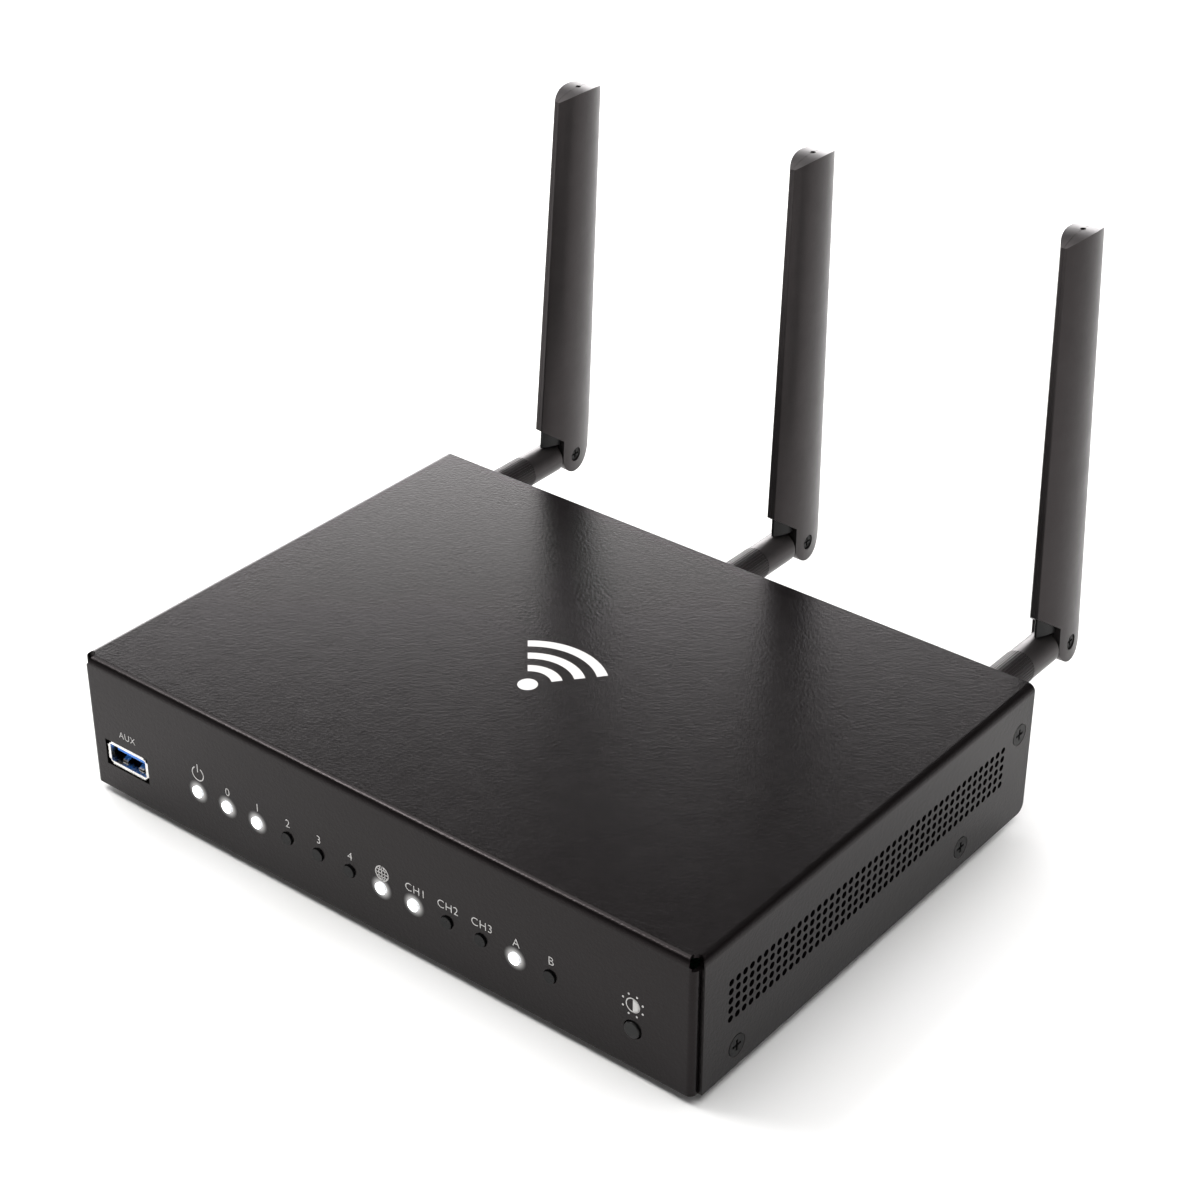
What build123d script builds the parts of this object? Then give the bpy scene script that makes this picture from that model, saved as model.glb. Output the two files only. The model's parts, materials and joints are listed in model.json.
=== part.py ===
"""Desktop wifi node: folded steel case, front lights and socket, three folding antennas.

Millimetres. +X is the object's right seen from the front, +Y points to the rear, +Z is up.
The origin is the centre of the whole object's box, on the surface that the feet stand on.
"""

import os
from math import cos, radians, sin

from build123d import *

os.makedirs("parts", exist_ok=True)

# ---------------------------------------------------------------- driving dimensions
WIDTH = 190.0
DEPTH = 135.0
HEIGHT = 37.0
SHEET = 1.0
BEND_R = 2.0
RETURN_BEND_R = 1.6
RELIEF_R = 1.5
FOOT_HEIGHT = 2.5

# antennas, measured from the case's rear edge and from its underside
ANTENNA_SPACING = 81.0
ANTENNA_AXIS_HEIGHT = 28.0
RING_BEHIND = 17.1
PIVOT_BEHIND = 35.2
BLADE_ROLL_DEG = (3.5, 0.5, -2.0)
BARREL_R = 4.45
EAR_R = 5.3
BLADE_LENGTH = 111.2
BLADE_ARCH = 2.0
BLADE_OFFSET = -1.3
BLADE_REAR_REACH = 9.8

# front face, from the case's left edge and underside
LIGHT_COUNT = 12
LIGHT_PITCH = 10.05
LIGHT_HEIGHT = 13.2
LIGHT_HOLE_R = 1.8
LIGHTS_OFF_CENTRE = -0.5
PROUD = 0.5
LIT_LIGHTS = (0, 1, 2, 6, 7, 10)
USB_FROM_LEFT = 13.6
USB_HEIGHT = 10.8
USB_CUT = (15.2, 7.4)
BUTTON_FROM_LEFT = 172.8
BUTTON_HEIGHT = 10.6
BUTTON_R = 2.1
BUTTON_HOLE_R = 2.45

# sides
VENT_COLUMNS = 45
VENT_ROWS = 5
VENT_PITCH = 2.5
VENT_HOLE_R = 0.88
VENT_CENTRE = (66.8, 19.9)
SIDE_SCREWS = ((14.6, 5.7), (105.3, 5.7), (129.3, 25.5))
SCREW_HEAD_R = 2.85

# ---------------------------------------------------------------- worked-out places
FRONT = -(DEPTH + PIVOT_BEHIND + BLADE_REAR_REACH - PROUD) / 2
REAR = FRONT + DEPTH
PIVOT_Y = REAR + PIVOT_BEHIND
BASE = FOOT_HEIGHT
ROOF = BASE + HEIGHT
AXIS_Z = BASE + ANTENNA_AXIS_HEIGHT
SIDE = WIDTH / 2
RETURN_FACE = SIDE - SHEET - 0.1
CORNER_SLIT = 2.2
TRAY_HALF = SIDE - SHEET - 0.15
PANEL_FACE = REAR - 0.8
FLOOR_TOP = BASE + SHEET
BOARD_LOW = FLOOR_TOP + 4.5
BOARD_TOP = BOARD_LOW + 1.6
LIGHT_Z = BASE + LIGHT_HEIGHT
LIGHT_XS = [
    (i - (LIGHT_COUNT - 1) / 2) * LIGHT_PITCH + LIGHTS_OFF_CENTRE for i in range(LIGHT_COUNT)
]
USB_X = USB_FROM_LEFT - SIDE
USB_Z = BASE + USB_HEIGHT
BUTTON_X = BUTTON_FROM_LEFT - SIDE
BUTTON_Z = BASE + BUTTON_HEIGHT
ANTENNA_XS = (-ANTENNA_SPACING, 0.0, ANTENNA_SPACING)

# rear face sockets: x of each centre
DC_X = -78.0
RESET_X = -64.0
REAR_USB_X = -49.0
WAN_X = -25.0
LAN_X = 33.0
LAN_COUNT = 5
JACK_PITCH = 15.0
JACK_SIZE = (14.6, 13.4, 18.0)
PORT_SIZE = (11.8, 8.2, 13.0)
DC_SIZE = (9.0, 11.0, 14.0)
BUTTON_TRAVEL = 0.5
BUTTON_BACK = 4.3
JACK_THREAD_R = 3.15


def front_view(y):
    """Plane facing the front at this y: local x is +X, local y is +Z, normal -Y."""
    return Plane(origin=(0, y, 0), x_dir=(1, 0, 0), z_dir=(0, -1, 0))


def save(part, name):
    """Label one finished piece and write it."""
    part.label = name
    export_step(part, f"parts/{name}.step")


# ---------------------------------------------------------------- case sheets
def screw_places():
    """(y, z) of the side screws in the object's frame."""
    return [(FRONT + along, BASE + up) for along, up in SIDE_SCREWS]


def side_sign_plane(sign, inset=0.0):
    """Plane on the left (-1) or right (+1) side, normal outwards, local y up."""
    return Plane(origin=(sign * (SIDE - inset), 0, 0), x_dir=(0, sign, 0), z_dir=(sign, 0, 0))


with BuildPart() as top_cover:
    # roof and both sides, folded from one sheet
    with BuildSketch(front_view(FRONT + CORNER_SLIT)):
        with BuildLine():
            half = SIDE - SHEET / 2
            FilletPolyline(
                (-half, BASE),
                (-half, ROOF - SHEET / 2),
                (half, ROOF - SHEET / 2),
                (half, BASE),
                radius=BEND_R - SHEET / 2,
            )
        trace(line_width=SHEET)
    extrude(amount=-(DEPTH - CORNER_SLIT))
    # lower rear corners of the sides are rounded off
    rear_feet = top_cover.edges().filter_by(Axis.X).group_by(Axis.Z)[0].group_by(Axis.Y)[-1]
    fillet(rear_feet, 2.5)
    # front panel, folded down from the roof
    with BuildSketch(Plane.YZ):
        with BuildLine():
            FilletPolyline(
                (FRONT + SHEET / 2, BASE),
                (FRONT + SHEET / 2, ROOF - SHEET / 2),
                (FRONT + 6, ROOF - SHEET / 2),
                radius=BEND_R - SHEET / 2,
            )
        trace(line_width=SHEET)
    extrude(amount=RETURN_FACE - RETURN_BEND_R, both=True)
    # vertical returns that close the front corners, just inside the sides
    for sign in (-1, 1):
        with BuildSketch(Plane.XY.offset(BASE)):
            with BuildLine():
                FilletPolyline(
                    (sign * (RETURN_FACE - 3), FRONT + SHEET / 2),
                    (sign * (RETURN_FACE - SHEET / 2), FRONT + SHEET / 2),
                    (sign * (RETURN_FACE - SHEET / 2), FRONT + 7),
                    radius=RETURN_BEND_R - SHEET / 2,
                )
            trace(line_width=SHEET)
        extrude(amount=HEIGHT - BEND_R)
    # round bend reliefs at the two front corners of the roof
    relief_x = SIDE - 1.75
    with BuildSketch(Plane.XY.offset(ROOF - 2.8)):
        with Locations((-relief_x, FRONT + 1.6), (relief_x, FRONT + 1.6)):
            Circle(RELIEF_R)
    extrude(amount=2 * BEND_R, mode=Mode.SUBTRACT)
    # front openings
    with BuildSketch(front_view(FRONT)):
        with Locations((USB_X, USB_Z)):
            Rectangle(*USB_CUT)
        with Locations((BUTTON_X, BUTTON_Z)):
            Circle(BUTTON_HOLE_R)
        with Locations([(x, LIGHT_Z) for x in LIGHT_XS]):
            Circle(LIGHT_HOLE_R)
    extrude(amount=-1.5 * SHEET, mode=Mode.SUBTRACT)
    # vent field and countersunk screw holes in each side
    for sign in (-1, 1):
        with BuildSketch(side_sign_plane(sign)):
            with Locations((sign * (FRONT + VENT_CENTRE[0]), BASE + VENT_CENTRE[1])):
                with GridLocations(VENT_PITCH, VENT_PITCH, VENT_COLUMNS, VENT_ROWS):
                    Circle(VENT_HOLE_R)
        extrude(amount=-1.5 * SHEET, mode=Mode.SUBTRACT)
        with Locations(side_sign_plane(sign)):
            with Locations([(sign * y, z) for y, z in screw_places()]):
                CounterSinkHole(1.7, SCREW_HEAD_R + 0.2, depth=2 * SHEET, counter_sink_angle=130)
save(top_cover.part, "top_cover")


with BuildPart() as bottom_tray:
    # floor and rear panel
    panel_mid = PANEL_FACE - SHEET / 2
    with BuildSketch(Plane.YZ):
        with BuildLine():
            FilletPolyline(
                (FRONT + SHEET + 0.3, BASE + SHEET / 2),
                (panel_mid, BASE + SHEET / 2),
                (panel_mid, ROOF - SHEET - 0.3),
                radius=1.5,
            )
        trace(line_width=SHEET)
    extrude(amount=TRAY_HALF - 2, both=True)
    for sign in (-1, 1):
        # low flange that the low side screws hold
        with BuildSketch(front_view(FRONT + 9)):
            with BuildLine():
                FilletPolyline(
                    (sign * (TRAY_HALF - 4), BASE + SHEET / 2),
                    (sign * (TRAY_HALF - SHEET / 2), BASE + SHEET / 2),
                    (sign * (TRAY_HALF - SHEET / 2), BASE + 11.5),
                    radius=1.5,
                )
            trace(line_width=SHEET)
        extrude(amount=-(DEPTH - 26))
        # return of the rear panel that the high side screw holds
        with BuildSketch(Plane.XY.offset(BASE + 6)):
            with BuildLine():
                FilletPolyline(
                    (sign * (TRAY_HALF - 4), panel_mid),
                    (sign * (TRAY_HALF - SHEET / 2), panel_mid),
                    (sign * (TRAY_HALF - SHEET / 2), panel_mid - 12),
                    radius=1.5,
                )
            trace(line_width=SHEET)
        extrude(amount=HEIGHT - 7.5)
        with Locations(side_sign_plane(sign, inset=SHEET)):
            with Locations([(sign * y, z) for y, z in screw_places()]):
                Hole(1.3, depth=3)
    # rear panel openings
    with BuildSketch(front_view(PANEL_FACE + 1)):
        with Locations((DC_X, BOARD_TOP + DC_SIZE[1] / 2)):
            Rectangle(DC_SIZE[0] + 0.4, DC_SIZE[1] + 0.4)
        with Locations((RESET_X, BUTTON_Z)):
            Circle(1.5)
        with Locations((REAR_USB_X, USB_Z)):
            Rectangle(*USB_CUT)
        with Locations((WAN_X, BOARD_TOP + JACK_SIZE[1] / 2)):
            Rectangle(JACK_SIZE[0] + 0.4, JACK_SIZE[1] + 0.4)
        with Locations((LAN_X, BOARD_TOP + JACK_SIZE[1] / 2)):
            Rectangle(LAN_COUNT * JACK_PITCH + 0.4, JACK_SIZE[1] + 0.4)
        with Locations([(x, AXIS_Z) for x in ANTENNA_XS]):
            Circle(JACK_THREAD_R + 0.15)
    extrude(amount=4, mode=Mode.SUBTRACT)
save(bottom_tray.part, "bottom_tray")


with BuildPart() as case_screws:
    for sign in (-1, 1):
        for y, z in screw_places():
            screw_plane = Plane(origin=(sign * (SIDE - 0.02), y, z), z_dir=(-sign, 0, 0))
            with BuildSketch(screw_plane):
                Circle(1.15)
            extrude(amount=5)
            with BuildSketch(screw_plane):
                Circle(SCREW_HEAD_R - 0.1)
            extrude(amount=0.72, taper=60)
            # cross recess
            with BuildSketch(screw_plane):
                Rectangle(3.0, 0.7)
                Rectangle(0.7, 3.0)
            extrude(amount=0.55, taper=12, mode=Mode.SUBTRACT)
save(case_screws.part, "case_screws")


with BuildPart() as rubber_feet:
    with BuildSketch(Plane.XY):
        with Locations((0, (FRONT + REAR) / 2)):
            with GridLocations(WIDTH - 34, DEPTH - 34, 2, 2):
                Circle(5.5)
    extrude(amount=FOOT_HEIGHT)
    chamfer(rubber_feet.edges().group_by(Axis.Z)[0], 0.5)
save(rubber_feet.part, "rubber_feet")


# ---------------------------------------------------------------- main board and its fixings
BOARD_FRONT = FRONT + 5.6
BOARD_REAR = PANEL_FACE - SHEET - 1.2
BOARD_HALF = 88.0
BOARD_MID = (BOARD_FRONT + BOARD_REAR) / 2
FIXING_XS = (-83.0, 0.0, 83.0)
FIXING_YS = (BOARD_FRONT + 16, BOARD_REAR - 24)
FIXINGS = [(x, y) for x in FIXING_XS for y in FIXING_YS]

# radio cards: each lies in an edge socket at the front and on two posts at the rear
CARD_XS = (-40.0, 4.0)
CARD_SIZE = (30.0, 50.0)
CARD_THICK = 1.0
CARD_Y = BOARD_MID - 10
CARD_Z = BOARD_TOP + 3.2
CARD_FRONT = CARD_Y - CARD_SIZE[1] / 2
CARD_FIXINGS = [(x + side, CARD_Y + 22) for x in CARD_XS for side in (-12, 12)]
CARD_CONNECTOR = (8.0, 17.0, 1.4)

with BuildPart() as main_board:
    with BuildSketch(Plane.XY.offset(BOARD_LOW)):
        with Locations((0, BOARD_MID)):
            RectangleRounded(2 * BOARD_HALF, BOARD_REAR - BOARD_FRONT, 2)
        with Locations(FIXINGS):
            Circle(1.7, mode=Mode.SUBTRACT)
    extrude(amount=BOARD_TOP - BOARD_LOW)
save(main_board.part, "main_board")

with BuildPart() as board_standoffs:
    with BuildSketch(Plane.XY.offset(FLOOR_TOP)):
        with Locations(FIXINGS):
            RegularPolygon(3.0, 6)
            Circle(1.35, mode=Mode.SUBTRACT)
    extrude(amount=BOARD_LOW - FLOOR_TOP)
    # shorter posts under the rear corners of the radio cards
    with BuildSketch(Plane.XY.offset(BOARD_TOP)):
        with Locations(CARD_FIXINGS):
            Circle(2.2)
            Circle(1.05, mode=Mode.SUBTRACT)
    extrude(amount=CARD_Z - BOARD_TOP)
save(board_standoffs.part, "board_standoffs")


def pan_screws(places, seat, shank_r, shank_depth, head_r, head_height):
    """Cross-recess pan-head screws standing head up on a seat at this height."""
    with BuildPart() as screws:
        with BuildSketch(Plane.XY.offset(seat - shank_depth)):
            with Locations(places):
                Circle(shank_r)
        extrude(amount=shank_depth)
        with BuildSketch(Plane.XY.offset(seat)):
            with Locations(places):
                Circle(head_r)
        extrude(amount=head_height)
        fillet(screws.edges().group_by(Axis.Z)[-1], head_height / 3)
        with BuildSketch(Plane.XY.offset(seat + head_height)):
            with Locations(places):
                Rectangle(1.1 * head_r, 0.22 * head_r)
                Rectangle(0.22 * head_r, 1.1 * head_r)
        extrude(amount=-head_height / 2, mode=Mode.SUBTRACT)
    return screws.part


with BuildPart() as board_screws:
    add(pan_screws(FIXINGS, BOARD_TOP, 1.3, 4.6, 2.8, 1.8))
    add(pan_screws(CARD_FIXINGS, CARD_Z + CARD_THICK, 1.0, 3.4, 1.9, 1.2))
save(board_screws.part, "board_screws")


# ---------------------------------------------------------------- front lights
LED_Y = BOARD_FRONT + 2.4
PIPE_R = 1.6

with BuildPart() as status_leds:
    with BuildSketch(Plane.XY.offset(BOARD_TOP)):
        with Locations([(x, LED_Y) for x in LIGHT_XS]):
            Rectangle(3.4, 2.8)
    extrude(amount=0.8)
save(status_leds.part, "status_leds")


def light_pipes(xs):
    """Elbow rods that carry light from the board up and out through the front panel."""
    with BuildPart() as pipes:
        for x in xs:
            with BuildLine() as route:
                FilletPolyline(
                    (x, FRONT - PROUD, LIGHT_Z),
                    (x, LED_Y, LIGHT_Z),
                    (x, LED_Y, BOARD_TOP + 1.0),
                    radius=2.0,
                )
            with BuildSketch(Plane(origin=(x, FRONT - PROUD, LIGHT_Z), z_dir=(0, 1, 0))):
                Circle(PIPE_R)
            sweep(path=route.line)
    return pipes.part


LIT_XS = [LIGHT_XS[i] for i in LIT_LIGHTS]
save(light_pipes(LIT_XS), "light_pipes_lit")
save(light_pipes([x for x in LIGHT_XS if x not in LIT_XS]), "light_pipes_unlit")

with BuildPart() as light_pipe_bar:
    with BuildSketch(front_view(FRONT + 4.6)):
        with Locations((LIGHTS_OFF_CENTRE, LIGHT_Z)):
            RectangleRounded(LIGHT_COUNT * LIGHT_PITCH + 4, 6.0, 1)
        with Locations([(x, LIGHT_Z) for x in LIGHT_XS]):
            Circle(PIPE_R + 0.05, mode=Mode.SUBTRACT)
    extrude(amount=3.2)
save(light_pipe_bar.part, "light_pipe_bar")


# ---------------------------------------------------------------- USB sockets
USB_OUT = (13.3, 5.7)
USB_WALL = 0.35
USB_DEPTH = 17.0


def usb_places():
    """Mouth planes of the two sockets: normal points out of each mouth, local y is up."""
    front_mouth = Plane(origin=(USB_X, FRONT + 0.35, USB_Z), x_dir=(1, 0, 0), z_dir=(0, -1, 0))
    rear_mouth = Plane(
        origin=(REAR_USB_X, PANEL_FACE - 0.35, USB_Z), x_dir=(-1, 0, 0), z_dir=(0, 1, 0)
    )
    return {"front": front_mouth, "rear": rear_mouth}


for place, mouth in usb_places().items():
    with BuildPart() as usb_shell:
        with BuildSketch(mouth):
            RectangleRounded(*USB_OUT, 0.6)
        extrude(amount=-USB_DEPTH)
        with BuildSketch(mouth):
            RectangleRounded(USB_OUT[0] - 2 * USB_WALL, USB_OUT[1] - 2 * USB_WALL, 0.3)
        extrude(amount=-(USB_DEPTH - 1), mode=Mode.SUBTRACT)
        # four flared lips round the mouth
        inner = (USB_OUT[0] - 2 * USB_WALL, USB_OUT[1] - 2 * USB_WALL)
        with BuildSketch(mouth.offset(-0.3)):
            with Locations((0, 3.0), (0, -3.0)):
                Rectangle(USB_OUT[0] - 1.6, 0.9)
            with Locations((6.75, 0), (-6.75, 0)):
                Rectangle(0.9, USB_OUT[1] - 1.4)
            Rectangle(*inner, mode=Mode.SUBTRACT)
        extrude(amount=0.3)
    save(usb_shell.part, f"{place}_usb_shell")

with BuildPart() as usb_tongues:
    for mouth in usb_places().values():
        with BuildSketch(mouth.offset(-1.6)):
            with Locations((0, 1.0)):
                Rectangle(11.1, 1.9)
        extrude(amount=-(USB_DEPTH - 3.0))
save(usb_tongues.part, "usb_tongues")

with BuildPart() as usb_contacts:
    for mouth in usb_places().values():
        # two sprung fingers that lift off the lower wall of each shell
        for side_x in (-2.9, 2.9):
            root = mouth.from_local_coords((side_x, 0, 0))
            finger = Plane(origin=root, x_dir=mouth.z_dir, z_dir=-mouth.x_dir)
            with BuildSketch(finger):
                with BuildLine():
                    Polyline((-1.4, -2.2), (-4.0, -1.1), (-7.5, -2.3))
                trace(line_width=0.25)
            extrude(amount=0.9, both=True)
save(usb_contacts.part, "usb_contacts")


# ---------------------------------------------------------------- buttons and switches
with BuildPart() as brightness_button:
    with BuildSketch(front_view(FRONT - PROUD)):
        Circle(BUTTON_R)
    extrude(amount=-(BUTTON_BACK + PROUD))
    with BuildSketch(front_view(FRONT + SHEET + 0.2)):
        Circle(BUTTON_HOLE_R + 0.9)
    extrude(amount=-0.9)
    fillet(brightness_button.edges().group_by(Axis.Y)[0], 0.25)
save(Pos(BUTTON_X, 0, BUTTON_Z) * brightness_button.part, "brightness_button")

with BuildPart() as brightness_switch:
    with BuildSketch(Plane.XY.offset(BOARD_TOP)):
        with Locations((BUTTON_X, BOARD_FRONT + 3.4)):
            Rectangle(6.2, 4.0)
    extrude(amount=6.2)
    with BuildSketch(front_view(BOARD_FRONT + 1.4)):
        with Locations((BUTTON_X, BUTTON_Z)):
            Circle(1.5)
    extrude(amount=BOARD_FRONT + 1.4 - (FRONT + BUTTON_BACK + BUTTON_TRAVEL + 0.2))
save(brightness_switch.part, "brightness_switch")

with BuildPart() as reset_button:
    with BuildSketch(front_view(PANEL_FACE - 0.1)):
        with Locations((RESET_X, BUTTON_Z)):
            Circle(1.3)
    extrude(amount=4.0)
    with BuildSketch(front_view(PANEL_FACE - SHEET - 0.2)):
        with Locations((RESET_X, BUTTON_Z)):
            Circle(2.1)
    extrude(amount=0.8)
save(reset_button.part, "reset_button")

with BuildPart() as reset_switch:
    with BuildSketch(Plane.XY.offset(BOARD_TOP)):
        with Locations((RESET_X, PANEL_FACE - 4.1 - BUTTON_TRAVEL - 0.2 - 2)):
            Rectangle(6.2, 4.0)
    extrude(amount=6.2)
save(reset_switch.part, "reset_switch")


# ---------------------------------------------------------------- network and power sockets
MOUTH_Y = PANEL_FACE + 0.3


def network_jack(centre_x, count):
    """A shielded block of sockets, each a hollow that opens to the rear with a latch notch on top."""
    xs = [centre_x + (i - (count - 1) / 2) * JACK_PITCH for i in range(count)]
    block = JACK_SIZE[0] if count == 1 else count * JACK_PITCH
    with BuildPart() as jack:
        with BuildSketch(front_view(MOUTH_Y)):
            with Locations((centre_x, BOARD_TOP + JACK_SIZE[1] / 2)):
                Rectangle(block, JACK_SIZE[1])
        extrude(amount=JACK_SIZE[2])
        with BuildSketch(front_view(MOUTH_Y)):
            with Locations([(x, BOARD_TOP + 1.2) for x in xs]):
                Rectangle(PORT_SIZE[0], PORT_SIZE[1], align=(Align.CENTER, Align.MIN))
            with Locations([(x, BOARD_TOP + 1.2 + PORT_SIZE[1]) for x in xs]):
                Rectangle(6.2, 2.6, align=(Align.CENTER, Align.MIN))
        extrude(amount=PORT_SIZE[2], mode=Mode.SUBTRACT)
    return jack.part, xs


wan_part, wan_xs = network_jack(WAN_X, 1)
lan_part, lan_xs = network_jack(LAN_X, LAN_COUNT)
save(wan_part, "wan_jack")
save(lan_part, "lan_jacks")

with BuildPart() as network_jack_contacts:
    for x in wan_xs + lan_xs:
        for i in range(8):
            wire_x = x + (i - 3.5) * 1.02
            with BuildSketch(Plane(origin=(wire_x, 0, 0), x_dir=(0, 1, 0), z_dir=(1, 0, 0))):
                with BuildLine():
                    Polyline(
                        (MOUTH_Y - PORT_SIZE[2] + 0.1, BOARD_TOP + 2.9),
                        (MOUTH_Y - PORT_SIZE[2] + 1.6, BOARD_TOP + 2.9),
                        (MOUTH_Y - PORT_SIZE[2] + 5.5, BOARD_TOP + 1.7),
                    )
                trace(line_width=0.35)
            extrude(amount=0.2, both=True)
save(network_jack_contacts.part, "network_jack_contacts")

DC_Z = BOARD_TOP + DC_SIZE[1] / 2
with BuildPart() as dc_jack:
    with BuildSketch(front_view(MOUTH_Y)):
        with Locations((DC_X, DC_Z)):
            Rectangle(DC_SIZE[0], DC_SIZE[1])
    extrude(amount=DC_SIZE[2])
    with BuildSketch(front_view(MOUTH_Y)):
        with Locations((DC_X, DC_Z)):
            Circle(3.15)
    extrude(amount=9.5, mode=Mode.SUBTRACT)
    with BuildSketch(front_view(MOUTH_Y)):
        with Locations((DC_X, DC_Z)):
            Circle(1.05)
    extrude(amount=12, mode=Mode.SUBTRACT)
save(dc_jack.part, "dc_jack")

with BuildPart() as dc_jack_pin:
    with BuildSketch(front_view(MOUTH_Y - 1.2)):
        with Locations((DC_X, DC_Z)):
            Circle(1.0)
    extrude(amount=10.6)
    fillet(dc_jack_pin.edges().group_by(Axis.Y)[-1], 0.5)
save(dc_jack_pin.part, "dc_jack_pin")


# ---------------------------------------------------------------- parts on the board
CHIPS = (
    # (x, y, width, depth, height)
    (48.0, BOARD_MID - 8, 23.0, 23.0, 1.5),
    (33.0, BOARD_MID + 24, 14.0, 14.0, 1.2),
    (72.0, BOARD_MID - 14, 9.0, 13.0, 1.1),
    (72.0, BOARD_MID + 2, 9.0, 13.0, 1.1),
    (-70.0, BOARD_MID + 12, 8.0, 8.0, 1.2),
)
with BuildPart() as board_chips:
    for x, y, wide, deep, high in CHIPS:
        with BuildSketch(Plane.XY.offset(BOARD_TOP)):
            with Locations((x, y)):
                Rectangle(wide, deep)
        extrude(amount=high)
save(board_chips.part, "board_chips")

SOC_X, SOC_Y, SOC_WIDE, SOC_DEEP, SOC_HIGH = CHIPS[0]
with BuildPart() as thermal_pad:
    with BuildSketch(Plane.XY.offset(BOARD_TOP + SOC_HIGH)):
        with Locations((SOC_X, SOC_Y)):
            Rectangle(SOC_WIDE - 2, SOC_DEEP - 2)
    extrude(amount=1.0)
save(thermal_pad.part, "thermal_pad")

SINK_LOW = BOARD_TOP + SOC_HIGH + 1.0
with BuildPart() as heat_sink:
    with BuildSketch(Plane.XY.offset(SINK_LOW)):
        with Locations((SOC_X, SOC_Y)):
            Rectangle(34, 34)
    extrude(amount=2.5)
    with BuildSketch(Plane.XY.offset(SINK_LOW + 2.5)):
        with Locations((SOC_X, SOC_Y)):
            with GridLocations(3.6, 0, 9, 1):
                Rectangle(1.2, 34)
    extrude(amount=8)
save(heat_sink.part, "heat_sink")

with BuildPart() as power_inductors:
    with BuildSketch(Plane.XY.offset(BOARD_TOP)):
        with Locations((-78, BOARD_MID + 30), (-62, BOARD_MID + 30)):
            RectangleRounded(9, 9, 1.5)
    extrude(amount=4.5)
save(power_inductors.part, "power_inductors")

with BuildPart() as capacitors:
    with BuildSketch(Plane.XY.offset(BOARD_TOP)):
        with Locations((-80, BOARD_MID), (-80, BOARD_MID - 11), (-69, BOARD_MID - 6), (78, BOARD_MID + 22)):
            Circle(4.0)
    extrude(amount=10)
    fillet(capacitors.edges().group_by(Axis.Z)[-1], 0.5)
save(capacitors.part, "capacitors")

with BuildPart() as card_sockets:
    with BuildSketch(Plane.XY.offset(BOARD_TOP)):
        with Locations([(x, CARD_FRONT - 1.4) for x in CARD_XS]):
            Rectangle(33, 5.5)
    extrude(amount=5.2)
    with BuildSketch(Plane.XY.offset(CARD_Z - 0.15)):
        with Locations([(x, CARD_FRONT) for x in CARD_XS]):
            Rectangle(30.4, 4.6)
    extrude(amount=1.3, mode=Mode.SUBTRACT)
save(card_sockets.part, "card_sockets")

for name, card_x in zip(("wifi_card_a", "wifi_card_b"), CARD_XS):
    with BuildPart() as wifi_card:
        with BuildSketch(Plane.XY.offset(CARD_Z)):
            with Locations((card_x, CARD_Y)):
                Rectangle(*CARD_SIZE)
            with Locations(CARD_FIXINGS):
                Circle(1.1, mode=Mode.SUBTRACT)
        extrude(amount=CARD_THICK)
        # shield can and the two small antenna sockets
        with BuildSketch(Plane.XY.offset(CARD_Z + CARD_THICK)):
            with Locations((card_x, CARD_Y - 4)):
                RectangleRounded(24, 30, 1)
        extrude(amount=2.2)
        with BuildSketch(Plane.XY.offset(CARD_Z + CARD_THICK)):
            with Locations((card_x, CARD_Y + CARD_CONNECTOR[1])):
                with GridLocations(2 * CARD_CONNECTOR[0], 0, 2, 1):
                    Circle(1.5)
        extrude(amount=CARD_CONNECTOR[2])
    save(wifi_card.part, name)


# ---------------------------------------------------------------- antenna bulkhead jacks
JACK_REACH = 9.0

with BuildPart() as antenna_jacks:
    for x in ANTENNA_XS:
        with BuildSketch(front_view(PANEL_FACE - SHEET)):
            with Locations((x, AXIS_Z)):
                RegularPolygon(4.0, 6, major_radius=False)
        extrude(amount=2.0)
        with BuildSketch(front_view(REAR + JACK_REACH)):
            with Locations((x, AXIS_Z)):
                Circle(JACK_THREAD_R)
        extrude(amount=REAR + JACK_REACH - PANEL_FACE + SHEET + 0.5)
        # crimped tail for the inner lead
        with BuildSketch(front_view(PANEL_FACE - SHEET - 2.0)):
            with Locations((x, AXIS_Z)):
                Circle(1.9)
        extrude(amount=4.5)
        with BuildSketch(front_view(REAR + JACK_REACH)):
            with Locations((x, AXIS_Z)):
                Circle(2.35)
                Circle(0.5, mode=Mode.SUBTRACT)
        extrude(amount=6.0, mode=Mode.SUBTRACT)
save(antenna_jacks.part, "antenna_jacks")

with BuildPart() as jack_washers:
    with BuildSketch(front_view(PANEL_FACE + 0.5)):
        with Locations([(x, AXIS_Z) for x in ANTENNA_XS]):
            Circle(4.4)
            Circle(JACK_THREAD_R + 0.1, mode=Mode.SUBTRACT)
    extrude(amount=0.5)
save(jack_washers.part, "jack_washers")

with BuildPart() as jack_nuts:
    with BuildSketch(front_view(PANEL_FACE + 2.5)):
        with Locations([(x, AXIS_Z) for x in ANTENNA_XS]):
            RegularPolygon(4.0, 6, major_radius=False)
            Circle(JACK_THREAD_R + 0.05, mode=Mode.SUBTRACT)
    extrude(amount=2.0)
save(jack_nuts.part, "jack_nuts")


# ---------------------------------------------------------------- inner antenna leads
LEAD_R = 0.7
TAIL_Y = PANEL_FACE - SHEET - 6.5
LEAD_ENDS = (
    CARD_XS[0] - CARD_CONNECTOR[0],
    CARD_XS[0] + CARD_CONNECTOR[0],
    CARD_XS[1] + CARD_CONNECTOR[0],
)
LEAD_END_Y = CARD_Y + CARD_CONNECTOR[1]
LEAD_END_Z = CARD_Z + CARD_THICK + CARD_CONNECTOR[2]

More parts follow.
